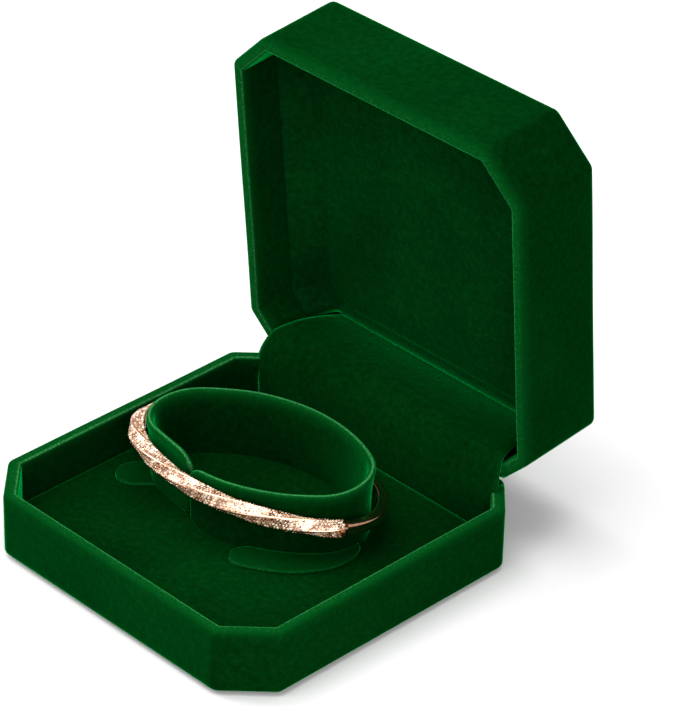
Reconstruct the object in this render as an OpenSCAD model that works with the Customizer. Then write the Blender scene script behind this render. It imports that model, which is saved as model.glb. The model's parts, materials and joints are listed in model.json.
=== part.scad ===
// Octagonal velvet bangle box, lid open, with a hinged bangle round its collar.
// Millimetres, Z up. The lid hinge runs along X at the back (+Y).
// The origin is the centre of the underside. The lid is drawn at its open stop.

/* [Box] */
// width, along the hinge
box_w = 100; // [70:0.5:140]
// depth, front to back
box_d = 99.2; // [70:0.2:140]
// leg of each cut corner
corner_cut = 11.5; // [6:0.5:20]
// rounding of the upright edges
corner_r = 3; // [2:0.5:5]
// height of the base
base_h = 18.7; // [15:0.1:30]
// height of the lid
lid_h = 26.1; // [20:0.1:40]
// finished wall, velvet included
wall = 3.5; // [3:0.1:5]
// velvet and its backing
wrap_t = 0.7; // [0.4:0.1:1]
// thickness of the panel underneath
panel_t = 0.5; // [0.3:0.1:1]
// panel's edge, in from the side
panel_in = 2.5; // [1.5:0.5:10]
// velvet turned in under the shell
foot_turn = 8; // [5:0.5:12]
// gap between the two rims when closed
seam = 0.3; // [0.2:0.1:1]
// floor and ceiling of the moulded shells
floor_t = 1.6; // [1.2:0.1:3]

/* [Lid hinge] */
// opening angle at the stop
lid_open = 84.9; // [0:0.1:100]
// pin axis, in from the back face
axis_in = 2.9; // [2:0.1:5]
// pin axis height
axis_z = 20; // [18:0.1:24]
// outside radius of a knuckle
knuckle_r = 1.4; // [1.2:0.1:2]
// pin radius
pin_r = 0.7; // [0.5:0.05:1]
// length of the barrel
barrel_l = 73; // [40:1:80]
// knuckles along the barrel
knuckles = 5; // [3:2:9]
// thickness of a leaf
leaf_t = 0.8; // [0.5:0.1:1.2]
// reach of a leaf from the pin
leaf_l = 11.5; // [8:0.5:14]
// slot in the back walls, below the pin
slot_low = 3.3; // [2.5:0.1:5]
// slot in the back walls, above the pin
slot_high = 1.5; // [1:0.1:3]
// width of that slot
slot_w = 83; // [60:1:90]
// front of the hinge cover in the base
cover_y = 40.4; // [36:0.1:44]
// velvet on the hinge cover
cover_skin = 0.6; // [0.4:0.1:1]
// card of the hinge cover
cover_card = 0.8; // [0.5:0.1:1.5]

/* [Insert] */
// top of the pad
pad_top = 7.7; // [6:0.1:14]
// play between the insert and the tray walls
pad_play = 0.4; // [0.3:0.1:1]
// card under the pad
board_t = 1.2; // [0.8:0.1:2]
// velvet of the pad
pad_skin = 0.8; // [0.5:0.1:1.2]

/* [Collar] */
// half length of the oval, outside
collar_a = 31.3; // [25:0.1:38]
// half width of the oval, outside
collar_b = 19.5; // [15:0.1:25]
// radius of the oval's ends
tip_r = 13.6; // [8:0.1:16]
// thickness with velvet
collar_t = 1.8; // [1.2:0.1:3]
// top of the collar
collar_top = 26.3; // [20:0.1:34]
// centre, sideways
collar_x = -5.3; // [-12:0.1:12]
// centre, front to back
collar_y = 6.3; // [-12:0.1:12]
// turn of the oval from the hinge line
collar_turn = 11.2; // [-30:0.1:30]
// where the right end stops, from the centre
end_u = -8; // [-15:0.5:0]
// rounding of both ends
end_r = 5; // [2:0.5:8]
// curl of the left end
curl_r = 10.4; // [8:0.1:13]
// straight part of the left end
curl_run = 15; // [8:0.5:20]
// springy strip inside
core_t = 0.8; // [0.5:0.1:1.2]
// reach of the foot tabs
tab_reach = 8; // [3:0.5:8]
// thickness of the foot tabs
tab_t = 1.6; // [1:0.1:2.5]

/* [Bangle] */
// from the collar's outside to the middle of the bar
bangle_off = 3.15; // [3:0.05:6]
// height of its centre
bangle_z = 18.8; // [14:0.1:24]
// lean, front up
lean_front = 9.6; // [0:0.1:15]
// lean, left up
lean_side = 2.3; // [0:0.1:8]
// flat to flat of the twisted bar
bar_side = 3.74; // [3:0.02:5]
// blunting of its ridges
ridge = 0.2; // [0.1:0.05:0.5]
// length of one full turn of the twist
twist_pitch = 76; // [40:1:120]
// twist at the hinge end
twist_start = 20; // [0:5:85]
// plain band, in to out
band_t = 3; // [2:0.1:4]
// plain band, height
band_h = 3.4; // [2.5:0.1:5]
// its edge rounding
band_r = 0.9; // [0.3:0.1:1.2]
// direction of the bangle's hinge
hinge_phi = 150; // [130:1:175]
// direction of its clasp
clasp_phi = 329; // [310:1:350]
// pin of the bangle's hinge
bangle_pin_r = 0.6; // [0.4:0.05:0.8]
// stones along one face
stones = 30; // [10:1:60]
// radius of a stone
stone_r = 0.7; // [0.4:0.05:1]

/* [Hidden] */

$fn = 64;
far = 200;
axis_y = box_d / 2 - axis_in;
back_y = box_d / 2 - wall;
base_rim = base_h - seam / 2;
lid_rim = base_h + seam / 2;
lid_top = base_h + lid_h;
wrap_low = panel_t;
shell_low = panel_t + wrap_t;
tray_floor = shell_low + floor_t;
lid_ceiling = lid_top - wrap_t - floor_t;
slot_low_z = axis_z - slot_low;
slot_high_z = axis_z + slot_high;
pin_play = 0.05;
leaf_y = axis_y - knuckle_r - 0.05;
board_z = tray_floor + 0.2;
foam_z = board_z + board_t;
cover_top_z = 18.4;
ceiling_pad_z = 37.6;
ceiling_board_t = 1.1;
side_r = (pow(collar_a - tip_r, 2) + pow(collar_b, 2) - pow(tip_r, 2)) / (2 * (collar_b - tip_r));
split = atan2(side_r - collar_b, collar_a - tip_r);
tip_x = collar_a - tip_r;
side_y = side_r - collar_b;
velvet = "#0b3b1a";
card = "#c9b48a";
foam = "#e8e2d0";
metal = "#b9a06a";
gold = "#d99a7c";

// ---------- outlines ----------

function leg(inset) = corner_cut - inset * (2 - sqrt(2));
function rounding(inset) = max(corner_r - inset, 0.6);

// one quarter of the eight-sided outline, from its side to its back
function quarter(x, y, c, t) = [
    [x, y - c - t],
    [x - t * sqrt(0.5), y - c + t * sqrt(0.5)],
    [x - c + t * sqrt(0.5), y - t * sqrt(0.5)],
    [x - c - t, y]
];

function flip(points, sx, sy) = [for (p = points) [sx * p[0], sy * p[1]]];
function backwards(points) = [for (i = [len(points) - 1 : -1 : 0]) points[i]];

module octagon(inset) {
    x = box_w / 2 - inset;
    y = box_d / 2 - inset;
    c = leg(inset);
    r = rounding(inset);
    t = r * tan(22.5);
    q = quarter(x, y, c, t);
    polygon(concat(q, backwards(flip(q, -1, 1)), flip(q, -1, -1), backwards(flip(q, 1, -1))));
    for (sx = [-1, 1], sy = [-1, 1]) {
        translate([sx * (x - r), sy * (y - c - t)])
            circle(r = r);
        translate([sx * (x - c - t), sy * (y - r)])
            circle(r = r);
    }
}

module block(inset, low, high) {
    translate([0, 0, low])
        linear_extrude(high - low)
            octagon(inset);
}

module slot(low, high) {
    translate([-slot_w / 2, back_y - 1, low])
        cube([slot_w, wall + 2, high - low]);
}

// the lid is drawn closed and swung open about the pin
module opened() {
    translate([0, axis_y, axis_z])
        rotate([-lid_open, 0, 0])
            translate([0, -axis_y, -axis_z])
                children();
}

// a flat shape in Y and Z carried along X
module along_x(length) {
    rotate([90, 0, 90])
        translate([0, 0, -length / 2])
            linear_extrude(length)
                children();
}

// ---------- base ----------

module base_shell() {
    color(card)
        difference() {
            block(wrap_t, shell_low, base_rim - wrap_t);
            block(wall - wrap_t, tray_floor, far);
            slot(slot_low_z - wrap_t, far);
        }
}

module base_wrap() {
    color(velvet) {
        difference() {
            block(0, wrap_low, base_rim);
            block(wrap_t, shell_low, base_rim - wrap_t);
            block(foot_turn, 0, shell_low + 1);
            block(wall, shell_low, far);
            slot(slot_low_z - wrap_t, far);
        }
        intersection() {
            difference() {
                block(0, slot_low_z - wrap_t, slot_low_z);
                block(wall, 0, far);
            }
            slot(0, far);
        }
    }
}

module base_lining() {
    color(velvet)
        difference() {
            block(wall - wrap_t, tray_floor, base_rim - wrap_t);
            block(wall, 0, far);
            slot(slot_low_z - wrap_t, far);
        }
}

module base_panel() {
    color("#26302a")
        block(panel_in, 0, panel_t);
}

// an upright slice of the tray's inside, between two depths
module tray_slice(y0, y1, z0, z1) {
    intersection() {
        block(wall, z0, z1);
        translate([-box_w / 2, y0, z0 - 1])
            cube([box_w, y1 - y0, z1 - z0 + 2]);
    }
}

module cover_board_base() {
    color(card)
        tray_slice(cover_y + cover_skin, cover_y + cover_skin + cover_card, tray_floor,
            cover_top_z - cover_skin);
}

module hinge_cover_base() {
    color(velvet)
        difference() {
            tray_slice(cover_y, cover_y + cover_skin + cover_card, tray_floor, cover_top_z);
            tray_slice(cover_y + cover_skin, cover_y + far, tray_floor - 2,
                cover_top_z - cover_skin);
        }
}

// ---------- lid hinge ----------

knuckle_l = barrel_l / knuckles;
knuckle_gap = 0.2;

module knuckle_run(first) {
    for (i = [first : 2 : knuckles - 1])
        translate([-barrel_l / 2 + (i + 0.5) * knuckle_l, 0, 0])
            along_x(knuckle_l - knuckle_gap)
                children();
}

// leaf and knuckles for one side of the hinge; up is +1 for the lid and -1 for the base
module leaf(first, up) {
    difference() {
        union() {
            knuckle_run(first)
                translate([axis_y, axis_z])
                    circle(r = knuckle_r);
            knuckle_run(first)
                translate([leaf_y, axis_z + (up > 0 ? 0 : -knuckle_r - 1)])
                    square([leaf_t, knuckle_r + 1]);
            along_x(barrel_l)
                translate([leaf_y, axis_z + (up > 0 ? knuckle_r + 0.4 : -leaf_l)])
                    square([leaf_t, leaf_l - knuckle_r - 0.4]);
        }
        along_x(far)
            translate([axis_y, axis_z])
                circle(r = pin_r + pin_play);
    }
}

module rivets(z) {
    for (x = [-28, 0, 28])
        translate([x, leaf_y, z])
            rotate([90, 0, 0])
                cylinder(r = 1.3, h = 0.5);
}

module leaf_base() {
    color(metal)
        leaf(0, -1);
}

module rivets_base() {
    color(metal)
        rivets(axis_z - leaf_l + 3);
}

module hinge_pin() {
    color(metal)
        along_x(barrel_l + 0.6)
            translate([axis_y, axis_z])
                circle(r = pin_r);
}

module leaf_lid() {
    color(metal)
        opened()
            leaf(1, 1);
}

module rivets_lid() {
    color(metal)
        opened()
            rivets(axis_z + leaf_l - 3);
}

fold_from = 88;
fold_to = 185;

// a bent plate round the pin axis, between two directions in Y and Z
module bent_plate(inner, outer, length) {
    along_x(length)
        translate([axis_y, axis_z])
            difference() {
                circle(r = outer);
                circle(r = inner);
                polygon([[0, 0], far * [cos(fold_to), sin(fold_to)],
                    far * [cos(fold_to + 60), sin(fold_to + 60)],
                    far * [cos(fold_from - 90), sin(fold_from - 90)],
                    far * [cos(fold_from), sin(fold_from)]]);
            }
}

module hinge_spring() {
    color(metal)
        for (x = [-20, 20])
            translate([x, 0, 0])
                bent_plate(2.4, 3, 14);
}

module hinge_cover_fold() {
    color(velvet)
        bent_plate(3.8, 4.5, 78);
}

// ---------- lid ----------

module lid_shell() {
    color(card)
        opened()
            difference() {
                block(wrap_t, lid_rim + wrap_t, lid_top - wrap_t);
                block(wall - wrap_t, lid_rim - 1, lid_ceiling);
                slot(0, slot_high_z + wrap_t);
            }
}

module lid_wrap() {
    color(velvet)
        opened() {
            difference() {
                block(0, lid_rim, lid_top);
                block(wrap_t, lid_rim + wrap_t, lid_top - wrap_t);
                block(wall, 0, lid_ceiling);
                slot(0, slot_high_z + wrap_t);
            }
            intersection() {
                difference() {
                    block(0, slot_high_z, slot_high_z + wrap_t);
                    block(wall, 0, far);
                }
                slot(0, far);
            }
        }
}

module lid_lining() {
    color(velvet)
        opened()
            difference() {
                block(wall - wrap_t, lid_rim + wrap_t, lid_ceiling);
                block(wall, 0, far);
                slot(0, slot_high_z + wrap_t);
            }
}

module lid_board() {
    color(card)
        opened()
            block(wall, lid_ceiling - ceiling_board_t, lid_ceiling);
}

module lid_foam() {
    color(foam)
        opened()
            block(wall + pad_skin, ceiling_pad_z + pad_skin, lid_ceiling - ceiling_board_t);
}

module lid_velvet() {
    color(velvet)
        opened()
            difference() {
                block(wall, ceiling_pad_z, lid_ceiling - ceiling_board_t);
                block(wall + pad_skin, ceiling_pad_z + pad_skin, far);
            }
}

// the sloping half of the hinge cover, from the rim to the ceiling pad
cover_lid_low = 19.1;
cover_lid_shift = back_y - 1 - cover_y;

module cover_slab(front, back) {
    opened()
        intersection() {
            along_x(box_w)
                polygon([
                    [cover_y + front, cover_lid_low],
                    [cover_y + back, cover_lid_low],
                    [cover_y + back + cover_lid_shift, ceiling_pad_z],
                    [cover_y + front + cover_lid_shift, ceiling_pad_z]
                ]);
            block(wall, 0, far);
        }
}

module cover_board_lid() {
    color(card)
        cover_slab(cover_skin, cover_skin + cover_card);
}

module hinge_cover_lid() {
    color(velvet)
        cover_slab(0, cover_skin);
}

// ---------- insert ----------

module pad_outline(inset) {
    intersection() {
        octagon(wall + pad_play + inset);
        translate([-box_w, -box_d])
            square([2 * box_w, box_d + cover_y - pad_play - inset]);
    }
}

module pad_block(inset, low, high) {
    translate([0, 0, low])
        linear_extrude(high - low)
            pad_outline(inset);
}

module insert_board() {
    color(card)
        pad_block(0.3, board_z, foam_z);
}

module pad_foam() {
    color(foam)
        difference() {
            pad_block(pad_skin, foam_z, pad_top - pad_skin);
            core_solid();
        }
}

module pad_velvet() {
    color(velvet)
        difference() {
            pad_block(0, foam_z, pad_top);
            pad_block(pad_skin, foam_z - 1, pad_top - pad_skin);
            core_solid();
        }
}

// ---------- collar ----------

module at_collar() {
    translate([collar_x, collar_y, 0])
        rotate([0, 0, collar_turn])
            children();
}

module oval(grow) {
    for (side = [-1, 1])
        translate([side * tip_x, 0])
            circle(r = tip_r + grow);
    intersection() {
        translate([0, side_y])
            circle(r = side_r + grow, $fn = 128);
        translate([0, -side_y])
            circle(r = side_r + grow, $fn = 128);
        square([2 * (tip_x + (tip_r + grow) * cos(split)), 3 * collar_b], center = true);
    }
}

curl_x = curl_r - collar_a + collar_t / 2;
curl_end = 250;
curl_bends = 10;
run_dir = curl_end + 90;

// one edge of the curled end, from the oval's tip to the strip's end
function curl_edge(side, short) = concat(
    [for (i = [0 : curl_bends])
        let (phi = 180 + (curl_end - 180) * i / curl_bends)
            [curl_x + (curl_r + side) * cos(phi), i == 0 ? 0 : (curl_r + side) * sin(phi)]],
    [[curl_x + (curl_r + side) * cos(curl_end) + (curl_run - short) * cos(run_dir),
        (curl_r + side) * sin(curl_end) + (curl_run - short) * sin(run_dir)]]
);

// outline of the strip from above: oval, open at the front left, left end curled inward
module strip(half) {
    short = collar_t / 2 - half;
    difference() {
        oval(half - collar_t / 2);
        oval(-half - collar_t / 2);
        translate([-far + end_u + short, -far])
            square([far, far]);
    }
    polygon(concat(curl_edge(half, short), backwards(curl_edge(-half, short))));
}

// takes the corners off one end of the strip; the strip lies on the +X side of its end
corner_cuts = 4;
nick = 0.02;

module end_corners(r, low, high) {
    for (top = [0, 1])
        translate([0, 0, top ? high : low])
            mirror([0, 0, top])
                rotate([90, 0, 0])
                    linear_extrude(10, center = true)
                        polygon(concat([[-2, -2], [r, -2]],
                            [for (i = [0 : corner_cuts])
                                r * [1 - sin(90 * i / corner_cuts), 1 - cos(90 * i / corner_cuts)]
                                    - [nick, nick]],
                            [[-2, r]]));
}

module both_ends(r, low, high, short) {
    translate([end_u + short, -collar_b + collar_t / 2, 0])
        end_corners(r, low, high);
    translate([curl_x + curl_r * cos(curl_end), curl_r * sin(curl_end), 0])
        rotate([0, 0, run_dir])
            translate([curl_run - short, 0, 0])
                rotate([0, 0, 180])
                    end_corners(r, low, high);
}

collar_skin = (collar_t - core_t) / 2;

// the springy strip, with feet that go down through the pad
module core_solid() {
    at_collar()
        difference() {
            translate([0, 0, foam_z])
                linear_extrude(collar_top - collar_skin - foam_z)
                    strip(core_t / 2);
            both_ends(end_r, pad_top + collar_skin, collar_top - collar_skin, collar_skin);
            translate([-far + 2, -far, 0])
                cube([far, far, pad_top + collar_skin]);
        }
}

module collar_core() {
    color("#d8d4c8")
        core_solid();
}

module collar_velvet() {
    color(velvet)
        difference() {
            at_collar()
                difference() {
                    translate([0, 0, pad_top])
                        linear_extrude(collar_top - pad_top)
                            strip(collar_t / 2);
                    both_ends(end_r, pad_top, collar_top, 0);
                }
            core_solid();
        }
}

module tab_front() {
    from = 10;
    to = 32.5;
    mid_r = side_r + tab_reach / 2;
    color(velvet)
        at_collar()
            translate([0, 0, pad_top])
                linear_extrude(tab_t)
                    difference() {
                        union() {
                            intersection() {
                                oval(tab_reach);
                                translate([from, -far])
                                    square([to - from, far]);
                            }
                            translate([from, side_y - sqrt(mid_r * mid_r - from * from)])
                                circle(r = tab_reach / 2);
                        }
                        oval(0);
                    }
}

module tab_left() {
    reach = tab_reach + 4;
    half = 5.2;
    r = 3.5;
    color(velvet)
        at_collar()
            translate([0, 0, pad_top])
                linear_extrude(tab_t)
                    difference() {
                        translate([-26.5, -5])
                            rotate(215) {
                                translate([0, -half])
                                    square([reach - r, 2 * half]);
                                translate([0, -half + r])
                                    square([reach, 2 * half - 2 * r]);
                                for (side = [-1, 1])
                                    translate([reach - r, side * (half - r)])
                                        circle(r = r);
                            }
                        oval(0);
                    }
}

// ---------- bangle ----------

bar_tip_r = tip_r + bangle_off;
bar_side_r = side_r + bangle_off;

// the bangle is drawn flat round the collar's oval, then leaned
module at_bangle() {
    translate([collar_x, collar_y, bangle_z])
        rotate([-lean_front, lean_side, 0])
            rotate([0, 0, collar_turn])
                children();
}

// where the bar's centre line lies in a given outward direction
function bar_point(phi) =
    phi < 180 + split
    ? [-tip_x + bar_tip_r * cos(phi), bar_tip_r * sin(phi), 0]
    : phi < 360 - split
    ? [bar_side_r * cos(phi), side_y + bar_side_r * sin(phi), 0]
    : [tip_x + bar_tip_r * cos(phi), bar_tip_r * sin(phi), 0];

end_gap = 2.7;
box_l = 5;
bar_from = hinge_phi + end_gap / bar_tip_r * 180 / PI;
bar_to = clasp_phi - box_l / bar_tip_r * 180 / PI;
run_1 = (180 + split - bar_from) * PI / 180 * bar_tip_r;
run_2 = (180 - 2 * split) * PI / 180 * bar_side_r;
run_3 = (bar_to - 360 + split) * PI / 180 * bar_tip_r;
bar_run = run_1 + run_2 + run_3;

// outward direction after a run of s along the bar
function phi_at(s) =
    s < run_1
    ? bar_from + s / bar_tip_r * 180 / PI
    : s < run_1 + run_2
    ? 180 + split + (s - run_1) / bar_side_r * 180 / PI
    : 360 - split + (s - run_1 - run_2) / bar_tip_r * 180 / PI;

function twist_at(s) = twist_start + 360 * s / twist_pitch;

half_side = bar_side / 2;
section = [
    [half_side, -half_side + ridge], [half_side, half_side - ridge],
    [half_side - ridge, half_side], [-half_side + ridge, half_side],
    [-half_side, half_side - ridge], [-half_side, -half_side + ridge],
    [-half_side + ridge, -half_side], [half_side - ridge, -half_side]
];

// one corner of the section, turned by the twist and stood outward from the oval
function on_bar(p, phi, turn) =
    bar_point(phi)
    + (p[0] * cos(turn) - p[1] * sin(turn)) * [cos(phi), sin(phi), 0]
    + (p[0] * sin(turn) + p[1] * cos(turn)) * [0, 0, 1];

module bangle_front_bar() {
    steps = 54;
    n = len(section);
    points = [for (i = [0 : steps], p = section)
        on_bar(p, phi_at(i * bar_run / steps), twist_at(i * bar_run / steps))];
    sides = [for (i = [0 : steps - 1], j = [0 : n - 1])
        each [
            [i * n + j, (i + 1) * n + j, i * n + (j + 1) % n],
            [(i + 1) * n + j, (i + 1) * n + (j + 1) % n, i * n + (j + 1) % n]
        ]];
    first = [for (j = [1 : n - 2]) [0, j, j + 1]];
    last = [for (j = [1 : n - 2]) [steps * n, steps * n + j + 1, steps * n + j]];
    color(gold)
        at_bangle()
            polyhedron(points, concat(sides, first, last));
}

module bangle_stones() {
    pitch = bar_run / stones;
    color("#f6ece8")
        at_bangle()
            for (i = [0 : stones - 1], face = [0 : 3]) {
                s = (i + 0.5) * pitch;
                translate(bar_point(phi_at(s)))
                    rotate([0, 0, phi_at(s)])
                        rotate([0, -twist_at(s) - 90 * face, 0])
                            translate([half_side - 0.1, 0, 0])
                                rotate([0, 90, 0])
                                    cylinder(r = stone_r, h = 0.4, $fn = 6);
            }
}

// a piece of the ring: a section carried along one of the oval's arcs
module tip_arc(side, from, to) {
    translate([side * tip_x, 0, 0])
        rotate([0, 0, from])
            rotate_extrude(angle = to - from, $fn = 96)
                translate([bar_tip_r, 0])
                    children();
}

module rear_arc() {
    translate([0, -side_y, 0])
        rotate([0, 0, split])
            rotate_extrude(angle = 180 - 2 * split, $fn = 192)
                translate([bar_side_r, 0])
                    children();
}

thumb_phi = clasp_phi - 5;

module clasp_box() {
    color(gold)
        at_bangle()
            difference() {
                tip_arc(1, bar_to, clasp_phi)
                    rotate(twist_at(bar_run))
                        square(bar_side - 0.1, center = true);
                tip_arc(1, bar_to + 4, clasp_phi + 1)
                    translate([-0.2, 0])
                        square(2, center = true);
                translate([tip_x, 0, 0])
                    rotate([0, 0, thumb_phi])
                        translate([bar_tip_r, -0.65, -0.7])
                            cube([4, 1.3, 1.4]);
            }
}

module clasp_thumb() {
    color(gold)
        at_bangle()
            translate([tip_x, 0, 0])
                rotate([0, 0, thumb_phi])
                    translate([bar_tip_r + 0.95, -0.5, -0.55])
                        cube([2, 1, 1.1]);
}

module clasp_tongue() {
    color(gold)
        at_bangle()
            tip_arc(1, clasp_phi - 7.5, clasp_phi + 1)
                square([0.6, 1.2], center = true);
}

module band_section() {
    square([band_t - 2 * band_r, band_h], center = true);
    square([band_t, band_h - 2 * band_r], center = true);
    for (x = [-1, 1], y = [-1, 1])
        translate([x * (band_t / 2 - band_r), y * (band_h / 2 - band_r)])
            circle(r = band_r, $fn = 32);
}

gap_phi = end_gap / bar_tip_r * 180 / PI;

module bangle_rear_band() {
    color(gold)
        at_bangle() {
            tip_arc(1, clasp_phi + 1 - 360, split)
                band_section();
            rear_arc()
                band_section();
            tip_arc(-1, 180 - split, hinge_phi - gap_phi)
                band_section();
        }
}

lug_r = 1.55;
lug_h = 1.5;

module bangle_pin_hole() {
    translate(bar_point(hinge_phi))
        cylinder(r = bangle_pin_r + pin_play, h = 20, center = true);
}

module bangle_front_knuckle() {
    color(gold)
        at_bangle()
            difference() {
                union() {
                    translate(bar_point(hinge_phi))
                        cylinder(r = lug_r, h = lug_h, center = true);
                    tip_arc(-1, hinge_phi, hinge_phi + gap_phi)
                        square([2.4, lug_h], center = true);
                }
                bangle_pin_hole();
            }
}

module bangle_rear_knuckle() {
    rise = 1;
    mid = lug_h / 2 + 0.1 + rise / 2;
    color(gold)
        at_bangle()
            difference() {
                for (z = [-mid, mid])
                    translate([0, 0, z]) {
                        translate(bar_point(hinge_phi))
                            cylinder(r = lug_r, h = rise, center = true);
                        tip_arc(-1, hinge_phi - gap_phi, hinge_phi)
                            square([2.4, rise], center = true);
                    }
                bangle_pin_hole();
            }
}

module bangle_pin() {
    color(metal)
        at_bangle()
            translate(bar_point(hinge_phi))
                cylinder(r = bangle_pin_r, h = 4.2, center = true);
}

base_shell();
base_wrap();
base_lining();
base_panel();
cover_board_base();
hinge_cover_base();
leaf_base();
rivets_base();
hinge_pin();
hinge_spring();
hinge_cover_fold();
lid_shell();
lid_wrap();
lid_lining();
lid_board();
lid_foam();
lid_velvet();
leaf_lid();
rivets_lid();
cover_board_lid();
hinge_cover_lid();
insert_board();
pad_foam();
pad_velvet();
collar_core();
collar_velvet();
tab_front();
tab_left();
bangle_front_bar();
bangle_stones();
clasp_box();
bangle_front_knuckle();
bangle_rear_band();
bangle_rear_knuckle();
bangle_pin();
clasp_tongue();
clasp_thumb();
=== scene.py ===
import json
import math

import bmesh
import bpy
import numpy as np
from mathutils import Matrix, Vector


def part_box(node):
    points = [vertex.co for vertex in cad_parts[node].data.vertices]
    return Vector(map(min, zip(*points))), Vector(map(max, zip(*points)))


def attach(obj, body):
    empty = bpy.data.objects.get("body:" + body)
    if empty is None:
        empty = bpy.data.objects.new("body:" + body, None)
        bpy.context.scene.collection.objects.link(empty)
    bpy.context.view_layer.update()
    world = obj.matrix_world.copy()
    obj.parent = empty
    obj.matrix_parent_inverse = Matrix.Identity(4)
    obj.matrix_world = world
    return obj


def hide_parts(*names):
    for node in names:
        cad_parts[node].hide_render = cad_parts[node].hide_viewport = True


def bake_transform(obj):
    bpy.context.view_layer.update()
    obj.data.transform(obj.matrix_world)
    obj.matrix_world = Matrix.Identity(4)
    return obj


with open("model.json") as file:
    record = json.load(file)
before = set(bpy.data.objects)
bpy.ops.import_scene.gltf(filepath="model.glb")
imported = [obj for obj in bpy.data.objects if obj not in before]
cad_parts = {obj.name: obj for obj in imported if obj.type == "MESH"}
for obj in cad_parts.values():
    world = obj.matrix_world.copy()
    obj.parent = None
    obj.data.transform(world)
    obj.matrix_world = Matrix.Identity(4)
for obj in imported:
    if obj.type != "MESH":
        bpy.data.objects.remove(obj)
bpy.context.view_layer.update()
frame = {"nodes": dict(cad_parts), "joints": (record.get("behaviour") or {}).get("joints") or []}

mm = 0.001
print("velvet bangle box: frame loaded")

# metres, degrees, watts and strengths
cameraSetup = {"azimuth": 45.2, "elevation": 32.44, "roll": 1.3, "distance": 0.978,
               "aside": 0.02142, "above": 0.04727, "lens": 195.27}
lightSetup = {"sky": 0.55, "backdrop": 0.95, "top": 32.0, "topAt": (-0.2, -0.1, 1.6), "topSize": 1.4,
              "key": 11.0, "keyAt": (-1.1, -0.5, 0.7), "keySize": 0.6,
              "fill": 17.0, "fillAt": (1.2, -0.6, 0.6), "fillSize": 1.0,
              "front": 4.0, "frontAt": (-0.1, -1.3, 1.0), "frontSize": 0.8,
              "aimHeight": 0.03, "floor": (0.63, 0.63, 0.63)}


def lookFrom(setup):
    # camera axes from turn, height and roll; it looks at the box with a small slide in its own plane
    az, el, roll = (math.radians(setup[k]) for k in ("azimuth", "elevation", "roll"))
    right = Vector((math.cos(az), math.sin(az), 0))
    back = Vector((math.sin(az) * math.cos(el), -math.cos(az) * math.cos(el), math.sin(el)))
    up = back.cross(right)
    side = right * math.cos(roll) + up * math.sin(roll)
    top = up * math.cos(roll) - right * math.sin(roll)
    place = back * setup["distance"] + side * setup["aside"] + top * setup["above"]
    data = bpy.data.cameras.new("camera")
    data.lens, data.sensor_width = setup["lens"], 36
    data.clip_start, data.clip_end = 0.05, 20
    cam = bpy.data.objects.new("camera", data)
    m = Matrix((side, top, back)).transposed().to_4x4()
    m.translation = place
    cam.matrix_world = m
    bpy.context.scene.collection.objects.link(cam)
    bpy.context.scene.camera = cam


def areaLight(name, power, place, size):
    # a square white light turned towards the middle of the box
    data = bpy.data.lights.new(name, "AREA")
    data.energy, data.size = power, size
    lamp = bpy.data.objects.new(name, data)
    lamp.location = place
    aim = Vector((0, 0, lightSetup["aimHeight"])) - Vector(place)
    lamp.rotation_euler = aim.to_track_quat("-Z", "Y").to_euler()
    bpy.context.scene.collection.objects.link(lamp)


lookFrom(cameraSetup)
for light in ("top", "key", "fill", "front"):
    areaLight(light + "Light", lightSetup[light], lightSetup[light + "At"], lightSetup[light + "Size"])
world = bpy.data.worlds.new("studio")
world.use_nodes = True
tree = world.node_tree
sky = tree.nodes["Background"]
sky.inputs["Color"].default_value = (1, 1, 1, 1)
# the sky lights with one strength and is seen, behind the floor's far edge, with a paler one
ray = tree.nodes.new("ShaderNodeLightPath")
strength = tree.nodes.new("ShaderNodeMapRange")
strength.inputs["To Min"].default_value = lightSetup["sky"]
strength.inputs["To Max"].default_value = lightSetup["backdrop"]
tree.links.new(ray.outputs["Is Camera Ray"], strength.inputs["Value"])
tree.links.new(strength.outputs["Result"], sky.inputs["Strength"])
bpy.context.scene.world = world
bpy.context.scene.view_settings.view_transform = "Standard"
print("camera and lights set")


def putMesh(name, points, quads, smooth=True, values=None):
    # points in mm, faces of four; poles and seams are merged and the faces turned outwards
    mesh = bpy.data.meshes.new(name)
    points = np.asarray(points, float).reshape(-1, 3) * mm
    mesh.vertices.add(len(points))
    mesh.vertices.foreach_set("co", points.ravel())
    quads = np.asarray(quads, int)
    mesh.loops.add(quads.size)
    mesh.loops.foreach_set("vertex_index", quads.ravel())
    mesh.polygons.add(len(quads))
    mesh.polygons.foreach_set("loop_start", np.arange(0, quads.size, 4))
    mesh.update(calc_edges=True)
    # values: the painted highlight of each point, stored for the velvet
    if values is not None:
        highlightLayer = mesh.attributes.new("pileHighlight", "FLOAT", "POINT")
        highlightLayer.data.foreach_set("value", np.asarray(values, np.float32).ravel())
    work = bmesh.new()
    work.from_mesh(mesh)
    bmesh.ops.remove_doubles(work, verts=work.verts, dist=1e-7)
    bmesh.ops.dissolve_degenerate(work, dist=1e-8, edges=work.edges)
    bmesh.ops.recalc_face_normals(work, faces=work.faces)
    work.to_mesh(mesh)
    work.free()
    mesh.polygons.foreach_set("use_smooth", np.full(len(mesh.polygons), smooth))
    mesh.update()
    obj = bpy.data.objects.new(name, mesh)
    bpy.context.scene.collection.objects.link(obj)
    return obj


def gridQuads(rows, cols, loopRows=False):
    # each point (i, j) starts the face (i, j), (i, j + 1), (i + 1, j + 1), (i + 1, j); columns always wrap
    i = np.arange(rows if loopRows else rows - 1)[:, None]
    j = np.arange(cols)[None, :]
    a, b = i * cols + j, i * cols + (j + 1) % cols
    i2 = (i + 1) % rows
    c, d = i2 * cols + (j + 1) % cols, i2 * cols + j
    return np.stack([a + 0 * b, b + 0 * a, c + 0 * a, d + 0 * b], -1).reshape(-1, 4)


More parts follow.
